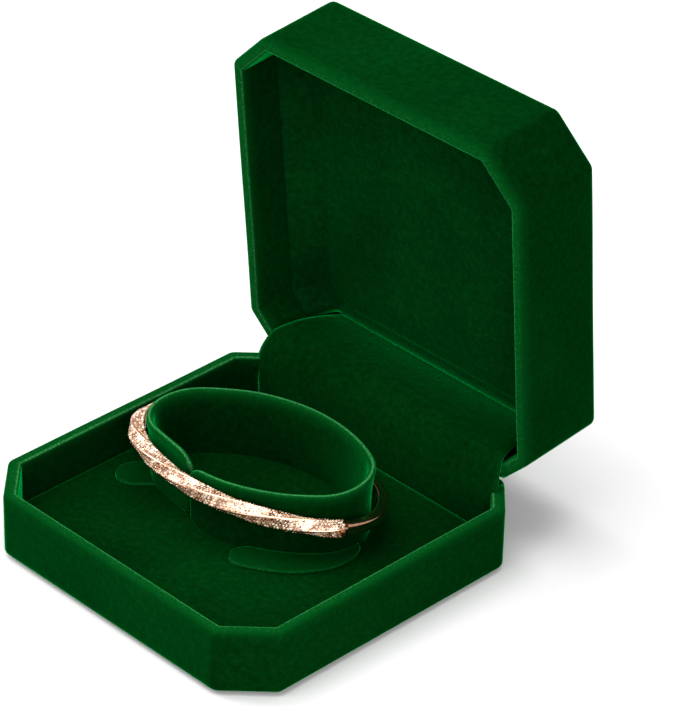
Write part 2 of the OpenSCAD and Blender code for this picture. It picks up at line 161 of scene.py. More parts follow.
def capped(grid):
    # closes an open run of loops with a fan at each end
    first, last = grid[:1].mean(axis=1, keepdims=True), grid[-1:].mean(axis=1, keepdims=True)
    n = grid.shape[1]
    return np.concatenate([np.repeat(first, n, 1), grid, np.repeat(last, n, 1)])


def evenly(points, count):
    # the same open line, as count points at equal distances
    step = np.linalg.norm(np.diff(points, axis=0), axis=1)
    run = np.concatenate([[0], np.cumsum(step)])
    at = np.linspace(0, run[-1], count)
    return np.stack([np.interp(at, run, points[:, k]) for k in range(points.shape[1])], -1), run[-1]


def easeStep(x):
    # 0 to 1 with level ends: 3 x squared minus 2 x cubed
    x = np.clip(x, 0, 1)
    return x * x * (3 - 2 * x)


def outward(line):
    # unit normals of a flat line, to the right of its direction
    d = np.gradient(line, axis=0)
    d /= np.linalg.norm(d, axis=1, keepdims=True)
    return np.stack([d[:, 1], -d[:, 0]], -1)


def roundedCorner(cx, cz, r, fromDeg, toDeg, n=6):
    # an arc: centre plus r times the cosine and sine of evenly spaced angles
    a = np.radians(np.linspace(fromDeg, toDeg, n))
    return np.stack([cx + r * np.cos(a), cz + r * np.sin(a)], -1)


# base and lid share one eight-sided outline, in mm like every shape below
boxShape = {"cornerCut": 11.5, "cornerRound": 3.0, "leastRound": 0.7}
(wx0, wy0, wz0), (wx1, wy1, wz1) = [np.array(p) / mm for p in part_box("base_wrap")]
halfWide, halfDeep = (wx1 - wx0) / 2, (wy1 - wy0) / 2
baseRim = wz1
diagonal = (halfWide + halfDeep - boxShape["cornerCut"]) / math.sqrt(2)
boxReach = np.array([halfWide, diagonal, halfDeep, diagonal] * 2)


def eightSided(reach, inset, radius, perCorner=5, perSide=14, hub=12.0):
    # eight lines 45 degrees apart, each moved in by inset, their corners rounded: one ring per inset.
    # past the hub inset the ring only shrinks towards the middle
    inset = np.asarray(inset, float)
    shrink = 1 - np.clip((inset - hub) / (reach.min() - hub), 0, 1)
    d = reach[None, :] - np.minimum(inset, hub)[:, None]
    angle = np.radians(np.arange(8) * 45)
    n = np.stack([np.cos(angle), np.sin(angle)], -1)
    t = np.stack([-np.sin(angle), np.cos(angle)], -1)
    ahead = (np.roll(d, -1, 1) - d * math.cos(math.pi / 4)) / math.sin(math.pi / 4)
    corner = n[None] * d[..., None] + t[None] * ahead[..., None]
    r = np.maximum(radius - np.minimum(inset, hub), boxShape["leastRound"])[:, None, None]
    middle = angle + math.pi / 8
    bis = np.stack([np.cos(middle), np.sin(middle)], -1)
    centre = corner - bis[None] * r / math.cos(math.pi / 8)
    sweep = angle[:, None] + np.linspace(0, math.pi / 4, perCorner)[None]
    arc = np.stack([np.cos(sweep), np.sin(sweep)], -1)
    arcs = centre[:, :, None] + r[..., None] * arc[None]
    start, end = arcs[:, :, -1:], np.roll(arcs, -1, 1)[:, :, :1]
    f = (np.arange(1, perSide + 1) / (perSide + 1))[None, None, :, None]
    ring = np.concatenate([arcs, start + (end - start) * f], 2)
    return ring.reshape(len(inset), -1, 2) * shrink[:, None, None]


def ringSurface(reach, profile, radius, **counts):
    # the profile, in (inset, height), carried round the outline
    profile = np.asarray(profile, float)
    ring = eightSided(reach, profile[:, 0], radius, **counts)
    z = np.repeat(profile[:, 1][:, None, None], ring.shape[1], 1)
    return np.concatenate([ring, z], -1)


def along(points, count):
    # straight runs through a few points, resampled evenly
    return evenly(np.asarray(points, float), count)[0]


def paintedHighlight(profile, spots):
    # painted highlight along a profile, standing in for the light that the pile's edges catch: bell curves
    # round places given as (inset, height)
    value = np.zeros(len(profile))
    for place, reach, strength in spots:
        gap = np.linalg.norm(profile - np.array(place), axis=1)
        value += strength * np.exp(-(gap / reach) ** 2)
    return np.clip(value, 0, 1)


class Maker:
    # a small holder for one material's nodes
    def __init__(self, name):
        self.mat = bpy.data.materials.new(name)
        self.mat.use_nodes = True
        self.nodes, self.links = self.mat.node_tree.nodes, self.mat.node_tree.links
        self.shader = self.nodes["Principled BSDF"]

    def add(self, kind, **settings):
        node = self.nodes.new(kind)
        for k, v in settings.items():
            setattr(node, k, v)
        return node

    def join(self, a, out, b, into):
        self.links.new(a.outputs[out], b.inputs[into])

    def noise(self, scale, detail=4, rough=0.6, stretch=(1, 1, 1)):
        place = self.add("ShaderNodeTexCoord")
        turn = self.add("ShaderNodeMapping")
        turn.inputs["Scale"].default_value = stretch
        tex = self.add("ShaderNodeTexNoise")
        tex.inputs["Scale"].default_value = scale
        tex.inputs["Detail"].default_value = detail
        tex.inputs["Roughness"].default_value = rough
        self.join(place, "Object", turn, "Vector")
        self.join(turn, "Vector", tex, "Vector")
        return tex

    def scaled(self, source, out, by, plus):
        # source times by, plus a constant
        node = self.add("ShaderNodeMath", operation="MULTIPLY_ADD")
        node.inputs[1].default_value, node.inputs[2].default_value = by, plus
        self.join(source, out, node, 0)
        return node

    def bump(self, source, out, strength, distance):
        node = self.add("ShaderNodeBump")
        node.inputs["Strength"].default_value = strength
        node.inputs["Distance"].default_value = distance
        self.join(source, out, node, "Height")
        self.join(node, "Normal", self.shader, "Normal")

    def ramp(self, source, out, stops):
        node = self.add("ShaderNodeValToRGB")
        first, last = node.color_ramp.elements[0], node.color_ramp.elements[1]
        first.position, first.color = stops[0][0], (*stops[0][1], 1)
        last.position, last.color = stops[-1][0], (*stops[-1][1], 1)
        for at, colour in stops[1:-1]:
            node.color_ramp.elements.new(at).color = (*colour, 1)
        self.join(source, out, node, "Fac")
        return node

    def mix(self, mode, factor, a, aOut, b, bOut):
        node = self.add("ShaderNodeMix", data_type="RGBA", blend_type=mode)
        if isinstance(factor, tuple):
            self.join(factor[0], factor[1], node, 0)
        else:
            node.inputs[0].default_value = factor
        self.join(a, aOut, node, 6)
        self.join(b, bOut, node, 7)
        return node


# body and bright are the pile's own tone; bent and tip are the colours of the painted highlight on lit edges
# and rims
velvetLook = {"body": (0.0002, 0.0115, 0.0013), "bright": (0.0003, 0.0185, 0.0020),
              "bent": (0.0008, 0.060, 0.008), "tip": (0.030, 0.17, 0.052),
              "sheen": 0.72, "sheenRough": 0.3, "sheenTint": (0.0, 0.6, 0.085),
              "cloudSize": 26.0, "tuftSize": 620.0, "fuzzSize": 1984.0, "pileSize": 2600.0,
              "fuzzBy": 1.2, "fuzzPlus": 0.35, "roughBy": 0.12, "roughPlus": 0.84,
              "lift": 0.30, "liftDepth": 0.0004, "pileShare": 0.6}


def velvet(name, look=velvetLook, edge=True):
    # dark nap times slow clouds and fine tufts, mixed with paler pile as a painted highlight where the
    # mesh's attribute marks it, under a sheen
    m = Maker(name)
    cloud = m.noise(look["cloudSize"], 3, 0.5)
    tuft = m.noise(look["tuftSize"], 5, 0.65)
    base = m.ramp(cloud, "Fac", [(0.36, look["body"]), (0.66, look["bright"])])
    specks = m.ramp(tuft, "Fac", [(0.34, (0.72, 0.72, 0.72)), (0.52, (1, 1, 1)),
                                  (0.72, (1.45, 1.45, 1.45))])
    toned = m.mix("MULTIPLY", 1.0, base, "Color", specks, "Color")
    last = toned
    if edge:
        # painted highlight: the amount each point carries, broken up by ragged noise, mixes in paler pile
        highlightAmount = m.add("ShaderNodeAttribute", attribute_name="pileHighlight")
        ragged = m.scaled(m.noise(look["fuzzSize"], 3, 0.6), "Fac", look["fuzzBy"], look["fuzzPlus"])
        raggedHighlight = m.add("ShaderNodeMath", operation="MULTIPLY", use_clamp=True)
        m.join(highlightAmount, "Fac", raggedHighlight, 0)
        m.join(ragged, "Value", raggedHighlight, 1)
        bent = m.ramp(raggedHighlight, "Value", [(0.0, look["bent"]), (0.55, look["bent"]), (1.0, look["tip"])])
        last = m.mix("MIX", (raggedHighlight, "Value"), toned, "Result", bent, "Color")
    m.join(last, "Result", m.shader, "Base Color")
    pile = m.noise(look["pileSize"], 2, 0.5)
    m.join(m.scaled(pile, "Fac", look["roughBy"], look["roughPlus"]), "Value", m.shader, "Roughness")
    both = m.scaled(pile, "Fac", look["pileShare"], 0.0)
    m.join(tuft, "Fac", both, 2)
    m.bump(both, "Value", look["lift"], look["liftDepth"])
    m.shader.inputs["Specular IOR Level"].default_value = 0.0
    m.shader.inputs["Sheen Weight"].default_value = look["sheen"]
    m.shader.inputs["Sheen Roughness"].default_value = look["sheenRough"]
    m.shader.inputs["Sheen Tint"].default_value = (*look["sheenTint"], 1)
    return m.mat


plainBump = {"metalSize": 900.0, "metalLift": 0.02, "boardLift": 0.2, "depth": 0.0002}


def metal(name, colour, shade, rough):
    m = Maker(name)
    wear = m.noise(plainBump["metalSize"], 4, 0.6)
    tone = m.ramp(wear, "Fac", [(0.3, shade), (0.6, colour)])
    m.join(tone, "Color", m.shader, "Base Color")
    m.shader.inputs["Metallic"].default_value = 1.0
    m.join(m.scaled(wear, "Fac", 0.1, rough), "Value", m.shader, "Roughness")
    m.bump(wear, "Fac", plainBump["metalLift"], plainBump["depth"])
    return m.mat


def board(name, colour, shade, scale=500.0, rough=0.85):
    m = Maker(name)
    grain = m.noise(scale, 5, 0.65, (1, 1, 3))
    tone = m.ramp(grain, "Fac", [(0.3, shade), (0.7, colour)])
    m.join(tone, "Color", m.shader, "Base Color")
    m.shader.inputs["Roughness"].default_value = rough
    m.bump(grain, "Fac", plainBump["boardLift"], plainBump["depth"])
    return m.mat


def stoneGlass(name):
    # gold showing between the stones, then their shaded and their bright facets
    m = Maker(name)
    facets = [(0.40, (0.24, 0.11, 0.05)), (0.51, (0.62, 0.41, 0.26)), (0.63, (0.97, 0.85, 0.68))]
    tone = m.ramp(m.noise(760.0, 2, 0.5), "Fac", facets)
    m.join(tone, "Color", m.shader, "Base Color")
    m.shader.inputs["Roughness"].default_value = 0.06
    m.shader.inputs["IOR"].default_value = 2.1
    m.shader.inputs["Metallic"].default_value = 0.35
    m.shader.inputs["Coat Weight"].default_value = 0.6
    return m.mat


# the ceiling pad's velvet: a brighter copy of the same pile, painted light that lifts the ceiling
paintedBrightCeilingLook = {**velvetLook, "body": (0.0003, 0.015, 0.0022), "bright": (0.0004, 0.026, 0.0036),
               "sheen": 0.95, "cloudSize": 34.0}
pileGreen = velvet("velvetPile")
plainGreen = velvet("velvetPlain", edge=False)
paintedBrightCeilingGreen = velvet("velvetPaintedBrightCeiling", paintedBrightCeilingLook)
roseGold = metal("roseGold", (0.90, 0.50, 0.33), (0.72, 0.34, 0.20), 0.12)
hingeMetal = metal("hingeMetal", (0.66, 0.55, 0.34), (0.52, 0.42, 0.25), 0.28)
greyBoard = board("greyBoard", (0.62, 0.50, 0.33), (0.50, 0.40, 0.26))
footPaper = board("footPaper", (0.02, 0.05, 0.03), (0.012, 0.035, 0.02), 900.0, 0.8)
wadding = board("wadding", (0.86, 0.83, 0.74), (0.74, 0.71, 0.62), 300.0, 0.95)
stones = stoneGlass("pinkStones")


def dress(obj, material):
    obj.data.materials.clear()
    obj.data.materials.append(material)


def fit(obj, material, body, *nodes, slot="velvet"):
    dress(obj, material)
    # body is None for a piece that is attached to no body
    if body:
        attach(obj, body)
    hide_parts(*nodes)


for part in frame["nodes"].values():
    kind = part.name
    if "bangle" in kind or "clasp" in kind:
        look = roseGold
    elif "leaf" in kind or "rivets" in kind or kind in ("hinge_pin", "hinge_spring"):
        look = hingeMetal
    elif "foam" in kind:
        look = wadding
    elif "shell" in kind or "board" in kind:
        look = greyBoard
    elif kind == "base_panel":
        look = footPaper
    else:
        look = plainGreen
    if len(part.data.materials) == 0:
        part.data.materials.append(look)
    for k in range(len(part.material_slots)):
        part.material_slots[k].material = look
print("finishes mixed")

hinge = next(j for j in frame["joints"] if j["name"] == "lid_hinge")
axisY, axisZ = hinge["pos_m"][1] / mm, hinge["pos_m"][2] / mm
openAngle = math.radians(hinge["range_deg"][1])
slotShape = {"end": 41.1, "edge": 0.25, "pull": 1.4, "behind": 30.0}


def slotFall(p):
    # the slot for the hinge ends on the two rear cut corners. columns close to its end slide along them to
    # either side of it, so that the notch is crisp. the answer is 1 inside the slot and 0 outside
    end, edge = slotShape["end"], slotShape["edge"]
    x, back = np.abs(p[..., 0]), p[..., 1] > slotShape["behind"]
    past = x - end
    near = back & (np.abs(past) < slotShape["pull"])
    moved = np.where(near, end + np.where(past > 0, edge, -edge), x)
    p[..., 1] -= moved - x
    p[..., 0] = np.sign(p[..., 0]) * moved
    return back * (moved < end)


def swungOpen(points):
    # the lid is shaped shut, then turned back about the pin to its open stop
    p = np.array(points, float)
    y, z = p[..., 1] - axisY, p[..., 2] - axisZ
    p[..., 1] = axisY + y * math.cos(openAngle) + z * math.sin(openAngle)
    p[..., 2] = axisZ - y * math.sin(openAngle) + z * math.cos(openAngle)
    return p


def softWaves(p, size, reach):
    # slow hand-made unevenness: crossed waves along x, y and z, as long as size and as high as reach
    x, y, z = p[..., 0], p[..., 1], p[..., 2]
    broad = np.sin(x / size + 1.3) * np.sin(y / (0.8 * size) + 0.4)
    return reach * (broad + 0.6 * np.sin((x + y + z) / (0.55 * size)))


def rimLoop(low, high, wallT, edgeR, innerLow, outerLow):
    # outside of a wall, over its rounded rim and down the inside, in (inset, height)
    up = 1 if high > low else -1
    outer = along([(0, outerLow), (0, high - up * edgeR)], 12)
    over = roundedCorner(edgeR, high - up * edgeR, edgeR, 180, 180 - up * 90, 8)
    inR = edgeR * 0.95
    inside = roundedCorner(wallT - inR, high - up * inR, inR, up * 90, 0, 8)
    inner = along([(wallT, high - up * inR), (wallT, innerLow)], 10)
    return np.concatenate([outer, over[1:], inside, inner[1:]])


# uneven is a wave's length and height
wallShape = {"counts": {"perCorner": 6, "perSide": 60}, "unevenTray": (14, 0.05), "unevenLid": (15, 0.05)}
trayShape = {"wall": 3.5, "rimRound": 1.05, "footRound": 2.0, "footLift": 0.55, "underTo": 9.0,
             "slotTop": 16.7, "slotFrom": 8.0}
foot, footRound = trayShape["footLift"], trayShape["footRound"]
under = along([(trayShape["underTo"], foot), (footRound, foot)], 5)
turn = roundedCorner(footRound, foot + footRound, footRound, 270, 180, 8)
walls = rimLoop(0, baseRim, trayShape["wall"], trayShape["rimRound"], 3.0, foot + footRound)
back = np.array([(3.0, 2.6), (trayShape["underTo"], 1.6)])
trayProfile = np.concatenate([under, turn[1:], walls[1:], back])
tray = ringSurface(boxReach, trayProfile, boxShape["cornerRound"], **wallShape["counts"])
# the slot: the rim drops to slotTop, less and less further down the wall
slotFrom = trayShape["slotFrom"]
dip = slotFall(tray) * (baseRim - trayShape["slotTop"])
tray[..., 2] -= dip * np.clip((tray[..., 2] - slotFrom) / (baseRim - slotFrom), 0, 1)
bulge = softWaves(tray, *wallShape["unevenTray"])
tray[..., 0] += bulge * np.sign(tray[..., 0]) * (tray[..., 2] > footRound)
innerEdge = trayShape["wall"] - 0.5
# painted highlight on the top of the rim and a thin one along its inner edge
trayHighlight = paintedHighlight(trayProfile, [((1.7, baseRim), 1.7, 0.62), ((innerEdge, baseRim - 0.2), 0.4, 0.6)])
trayHighlight = trayHighlight[:, None] * np.ones(tray.shape[1])
baseVelvet = putMesh("base_velvet_wrap", tray, gridQuads(*tray.shape[:2], loopRows=True), values=trayHighlight)
fit(baseVelvet, pileGreen, "base", "base_wrap", "base_lining")

lidShape = {"rim": 18.85, "top": 44.8, "wall": 3.5, "rimRound": 1.0, "topRound": 2.0, "inside": 40.6,
            "slotRim": 21.5, "slotTo": 34.0}
lidTop, lidRim, topRound, inside = (lidShape[k] for k in ("top", "rim", "topRound", "inside"))
crown = along([(halfDeep, lidTop), (topRound, lidTop)], 16)
edge = roundedCorner(topRound, lidTop - topRound, topRound, 90, 180, 8)
down = rimLoop(lidTop, lidRim, lidShape["wall"], lidShape["rimRound"], inside, lidTop - topRound)
inwards = along([(lidShape["wall"], inside), (halfDeep, inside)], 12)
lidProfile = np.concatenate([crown, edge[1:], down[1:], inwards[1:]])
lid = ringSurface(boxReach, lidProfile, boxShape["cornerRound"], **wallShape["counts"])
# the slot in the lid, shaped as the one in the tray
slotTo = lidShape["slotTo"]
lift = slotFall(lid) * (lidShape["slotRim"] - lidRim)
lid[..., 2] += lift * np.clip((slotTo - lid[..., 2]) / (slotTo - lidRim), 0, 1)
lid[..., 0] += softWaves(lid, *wallShape["unevenLid"]) * np.sign(lid[..., 0])
innerEdge = lidShape["wall"] - 0.5
# painted highlight on the rim, along its inner edge and along the top's outer edge
lidHighlight = paintedHighlight(lidProfile, [((1.7, lidRim), 1.8, 0.66), ((innerEdge, lidRim + 0.2), 0.35, 0.4),
                              ((0.5, lidTop - 0.5), 0.7, 0.25)])
lidHighlight = lidHighlight[:, None] * np.ones(lid.shape[1])
lidVelvet = putMesh("lid_velvet_wrap", swungOpen(lid), gridQuads(*lid.shape[:2]), values=lidHighlight)
fit(lidVelvet, pileGreen, "lid", "lid_wrap", "lid_lining")
print("base and lid wrapped")

ceilingShape = {"face": 37.6, "wallAt": 30.5, "cove": 8.5, "bend": 2.1, "back": 41.0, "edgeIn": 3.55,
                "crown": 0.5, "tuck": 2.8, "hingeEase": 7.0, "uneven": (17, 0.09)}


def ceilingProfile(s):
    # flat face, then a hollow cove down to a rounded lip against the wall, in (inset, height)
    face, lip, cove, edgeIn = s["face"], s["wallAt"], s["cove"], s["edgeIn"]
    flat = along([(halfDeep, face), (edgeIn + cove, face)], 30)
    a = np.linspace(0, 1, 14)[1:]
    bend = np.stack([edgeIn + cove - (cove - 0.25) * a, face - (face - lip) * a ** s["bend"]], -1)
    lipEnd = np.array([(edgeIn, lip + 0.25), (edgeIn, lip + 1.0)])
    behind = along([(edgeIn, lip + 1.5), (edgeIn, s["back"]), (halfDeep, s["back"])], 16)
    return np.concatenate([flat, bend, lipEnd, behind])


profile = ceilingProfile(ceilingShape)
ceiling = ringSurface(boxReach, profile, boxShape["cornerRound"], perCorner=5, perSide=30)
# along the hinge the cove gives way to a pillow edge, which tucks the cover in behind it
face, tuck = ceilingShape["face"], ceilingShape["tuck"]
byHinge = easeStep((ceiling[..., 1] - np.abs(ceiling[..., 0])) / ceilingShape["hingeEase"])
drop = np.maximum(face - ceiling[..., 2], 0)
way = np.clip(drop / (face - ceilingShape["wallAt"]), 0, 1) ** (1 / ceilingShape["bend"])
ceiling[..., 2] += byHinge * (drop + tuck * way ** 3)
front = ceiling[..., 2] < face + 0.01
middle = np.clip(1 - np.maximum(np.abs(ceiling[..., 0]), np.abs(ceiling[..., 1])) / halfDeep, 0, 1)
crowned = ceilingShape["crown"] * easeStep(middle * 2.2) + softWaves(ceiling, *ceilingShape["uneven"])
ceiling[..., 2] -= front * crowned
ceilingPad = putMesh("lid_ceiling_pad", swungOpen(ceiling), gridQuads(*ceiling.shape[:2]),
                     values=np.zeros(ceiling.shape[:2]))
fit(ceilingPad, paintedBrightCeilingGreen, "lid", "lid_velvet", "lid_foam")

ins = {"top": 7.7, "low": 4.3, "gap": 0.35, "backY": 40.0, "edge": 1.5, "crown": 0.25, "middle": 44.0,
       "uneven": (13, 0.07), "highlightFrom": 36.0, "highlightOver": 3.0}
insertReach = boxReach - (trayShape["wall"] + ins["gap"])
insertReach[2] = ins["backY"]
hubReach = insertReach.min()
flat = along([(hubReach, ins["top"]), (ins["edge"], ins["top"])], 34)
shoulder = roundedCorner(ins["edge"], ins["top"] - ins["edge"], ins["edge"], 90, 180, 8)
below = along([(0, ins["low"] + 0.4), (0.5, ins["low"]), (hubReach, ins["low"])], 14)
padProfile = np.concatenate([flat, shoulder[1:], below])
pad = ringSurface(insertReach, padProfile, 2.0, perCorner=5, perSide=34, hub=4.0)
above = pad[..., 2] > ins["top"] - 0.01
middle = np.clip(1 - np.maximum(np.abs(pad[..., 0]), np.abs(pad[..., 1])) / ins["middle"], 0, 1)
pad[..., 2] += above * (ins["crown"] * easeStep(middle * 3) + softWaves(pad, *ins["uneven"]))
# painted highlight: a pale line along the pad's shoulder, only towards the back
atBack = easeStep((pad[..., 1] - ins["highlightFrom"]) / ins["highlightOver"])
padHighlight = paintedHighlight(padProfile, [((0.7, ins["top"] - 0.3), 0.5, 0.6)])[:, None] * atBack
insertPad = putMesh("insert_pad", pad, gridQuads(*pad.shape[:2]), values=padHighlight)
fit(insertPad, pileGreen, "insert", "pad_velvet")
print("pads made")

coverShape = {"line": [(40.6, 5.2), (40.6, 7.7), (40.6, 13.0), (41.3, 18.5), (42.9, 23.0), (45.3, 26.2),
                       (50.0, 27.1), (56.5, 26.6), (61.0, 25.6), (64.0, 24.7), (67.0, 23.8)],
              "half": [42.6, 42.6, 42.8, 43.4, 42.6, 41.4, 40.2, 39.0, 38.2, 37.8, 37.4],
              "thick": 0.9, "edgeIn": 0.25, "edgeHighlight": 0.3, "edgeFrom": 0.985, "uneven": (9, 0.05)}


def smoothLine(knots, count):
    # a curve through the knots, each coordinate a chain of cubics with centred slopes
    k = np.asarray(knots, float)
    at = np.concatenate([[0], np.cumsum(np.linalg.norm(np.diff(k[:, :2], axis=0), axis=1))])
    slope = np.gradient(k, at, axis=0)
    u = np.linspace(0, at[-1], count)
    i = np.clip(np.searchsorted(at, u, side="right") - 1, 0, len(at) - 2)
    h = (at[i + 1] - at[i])[:, None]
    f = ((u - at[i]) / h[:, 0])[:, None]
    return ((2 * f ** 3 - 3 * f ** 2 + 1) * k[i] + (f ** 3 - 2 * f ** 2 + f) * h * slope[i]
            + (3 * f ** 2 - 2 * f ** 3) * k[i + 1] + (f ** 3 - f ** 2) * h * slope[i + 1])


def coverSheet(s, count=70, across=60):
    # front face, rounded side edges and back face as one loop carried along the bent line
    knots = np.array([(y, z, w) for (y, z), w in zip(s["line"], s["half"])])
    line = smoothLine(knots, count)
    n = outward(line[:, :2])
    u = np.linspace(-1, 1, across)
    loopU = np.concatenate([u, u[::-1]])
    skin = np.concatenate([np.full(across, 0.0), np.full(across, -s["thick"])])
    skin[0] = skin[across - 1] = -s["edgeIn"]
    skin[across] = skin[-1] = -s["thick"] + s["edgeIn"]
    x = line[:, 2:3] * loopU[None]
    y = line[:, 0:1] - n[:, 0:1] * skin[None]
    z = line[:, 1:2] - n[:, 1:2] * skin[None]
    grid = np.stack([x, y, z], -1)
    wave = softWaves(grid, *s["uneven"])
    grid[..., 1] += wave * n[:, 0:1]
    grid[..., 2] += wave * n[:, 1:2]
    # painted highlight along the sheet's two rounded side edges
    edge = np.clip((np.abs(loopU) - s["edgeFrom"]) / (1 - s["edgeFrom"]), 0, 1) * s["edgeHighlight"]
    return grid, edge[None] * np.ones((count, 1)), line


grid, sideHighlight, coverLine = coverSheet(coverShape)
grid = capped(grid)
sideHighlight = np.pad(sideHighlight, ((1, 1), (0, 0)))
hingeCover = putMesh("hinge_cover_velvet", grid, gridQuads(*grid.shape[:2]), values=sideHighlight)
fit(hingeCover, pileGreen, None, "hinge_cover_base", "hinge_cover_fold", "hinge_cover_lid",
    "cover_board_base", "cover_board_lid")
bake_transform(hingeCover)
print("hinge cover bent")

collarShape = {"a": 31.3, "b": 19.5, "tip": 13.6, "thick": 1.8, "top": 26.3, "low": 7.2, "at": (-5.3, 6.3),
               "turn": 11.2, "endU": -8.0, "endRound": 5.0, "curlR": 10.4, "curlTo": 250.0, "curlRun": 15.0,
               "flare": 1.15, "flareFrom": 10.0, "uneven": (6, 0.05)}


def ovalParts(s):
    # the oval is four arcs: two small ones at its ends and two long ones along its sides
    tipX = s["a"] - s["tip"]
    sideR = (tipX ** 2 + s["b"] ** 2 - s["tip"] ** 2) / (2 * (s["b"] - s["tip"]))
    split = math.degrees(math.atan2(sideR - s["b"], tipX))
    return tipX, sideR, sideR - s["b"], split


def ovalAt(phi, grow, s=collarShape):
    # the point whose outward direction is phi, grow outside the collar's outer face
    tipX, sideR, sideY, split = ovalParts(s)
    phi = np.asarray(phi, float) % 360
    rad = np.radians(phi)
    c, t = np.cos(rad), np.sin(rad)
    right = (phi <= split) | (phi >= 360 - split)
    left = np.abs(phi - 180) <= split
    rear = (phi > split) & (phi < 180 - split)
    r = np.where(right | left, s["tip"] + grow, sideR + grow)
    x0 = np.where(right, tipX, np.where(left, -tipX, 0.0))
    y0 = np.where(right | left, 0.0, np.where(rear, -sideY, sideY))
    return np.stack([x0 + r * c, y0 + r * t], -1)


def turnedOut(flat2d, s=collarShape):
    # from the collar's own axes to the box's
    a = math.radians(s["turn"])
    x = flat2d[..., 0] * math.cos(a) - flat2d[..., 1] * math.sin(a) + s["at"][0]
    y = flat2d[..., 0] * math.sin(a) + flat2d[..., 1] * math.cos(a) + s["at"][1]
    return np.stack([x, y], -1)


def collarLine(s, count):
    # from the right end, round the oval, then the inward curl and its straight end
    half = s["thick"] / 2
    phis = np.linspace(-120, 180, 1200)
    line = ovalAt(phis, -half)
    keep = ~((line[:, 0] < s["endU"]) & (line[:, 1] < 0))
    line = line[keep]
    cx = s["curlR"] - s["a"] + half
    a = np.radians(np.linspace(180, s["curlTo"], 120)[1:])
    curl = np.stack([cx + s["curlR"] * np.cos(a), s["curlR"] * np.sin(a)], -1)
    way = math.radians(s["curlTo"] + 90)
    run = np.linspace(0, s["curlRun"], 50)[1:, None]
    straight = curl[-1] + run * np.array([[math.cos(way), math.sin(way)]])
    return evenly(np.concatenate([line, curl, straight]), count)


def collarBand(s, count=420):
    # a rounded upright strip: the loop goes up the outside, over the soft top and down the inside
    line, length = collarLine(s, count)
    n = outward(line)
    half, r = s["thick"] / 2, s["endRound"]
    d = np.linspace(0, length, count)
    near = np.minimum(d, length - d)
    bite = np.where(near < r, r - np.sqrt(np.maximum(r * r - (r - np.minimum(near, r)) ** 2, 0)), 0)
    bite = np.minimum(bite, r * 0.92)
    top, low = s["top"] - bite, s["low"] + bite * (near < r)
    f = np.linspace(0, 1, 22)
    arc = np.radians(np.linspace(0, 180, 17))
    turnX, turnZ = half * np.cos(arc)[1:-1], half * np.sin(arc)[1:-1]
    flat, bent = np.ones(len(f)), np.ones(len(turnX))
    across = np.concatenate([half * flat, turnX, -half * flat, -turnX])
    rise = np.concatenate([f, bent, 1 - f, 0 * bent])
    dome = np.concatenate([0 * flat, turnZ, 0 * flat, -turnZ])
    z = low[:, None] + half + (top - low - 2 * half)[:, None] * rise[None] + dome[None]
    lean = s["flare"] * np.clip((z - s["flareFrom"]) / (s["top"] - s["flareFrom"]), 0, 1.05) ** 3
    thin = np.sqrt(np.clip(1 - (1 - np.minimum(near / half, 1)) ** 2, 0.02, 1))[:, None]
    off = across[None] * thin + lean
    xy = line[:, None] + n[:, None] * off[..., None]
    grid = np.concatenate([turnedOut(xy), z[..., None]], -1)
    grid[..., 2] += softWaves(grid, *s["uneven"])
    # painted highlight on the pile: a soft band below the top, a thin line along its crest, and the rounded
    # ends
    drop = top[:, None] - z
    tip = 0.55 * np.exp(-(drop / 2.2) ** 2) + 0.5 * np.exp(-(drop / 0.3) ** 2 - (across / 0.3)[None] ** 2)
    tip = np.clip(tip + 0.3 * np.exp(-(near / 0.8) ** 2)[:, None], 0, 1)
    return grid, tip


grid, tip = collarBand(collarShape)
grid, tip = capped(grid), np.pad(tip, ((1, 1), (0, 0)), mode="edge")
collar = putMesh("collar_band", grid, gridQuads(*grid.shape[:2]), values=tip)
fit(collar, pileGreen, "insert", "collar_velvet", "collar_core")

tabShape = {"thick": 1.6, "low": 7.5, "frontFrom": 279.5, "frontTo": 353.0, "reach": 8.3, "taperFrom": 0.35,
            "taper": 0.86, "taperBend": 2.2, "leftAt": (-26.5, -5.0), "leftWay": 215.0, "leftFrom": -2.0,
            "leftLong": 12.0, "leftHalf": 5.2, "leftRound": 5.0, "leastHighlight": 0.18}


def flatTab(centre, aim, wide, s):
    # a soft flat tongue: a flattened oval section carried along the middle line, as wide as the tab is there
    a = np.linspace(0, 2 * math.pi, 40, endpoint=False)
    edgeX = np.sign(np.cos(a)) * np.abs(np.cos(a)) ** 0.35
    edgeZ = np.sign(np.sin(a)) * np.abs(np.sin(a)) ** 0.7
    xy = centre[:, None] + aim[:, None] * (edgeX[None] * wide[:, None])[..., None]
    z = s["low"] + s["thick"] / 2 + s["thick"] / 2 * edgeZ[None] * np.ones((len(centre), 1))
    grid = np.concatenate([turnedOut(xy), z[..., None]], -1)
    # painted highlight along the tab's rounded edge, and a faint painted brightening over the whole tab
    tip = np.clip((np.abs(edgeX) - 0.8) / 0.2, 0, 1) * np.clip(edgeZ + 0.6, 0, 1) * 0.7
    tip = np.maximum(tip, s["leastHighlight"])[None] * np.ones((len(centre), 1))
    return capped(grid), np.pad(tip, ((1, 1), (0, 0)), mode="edge")


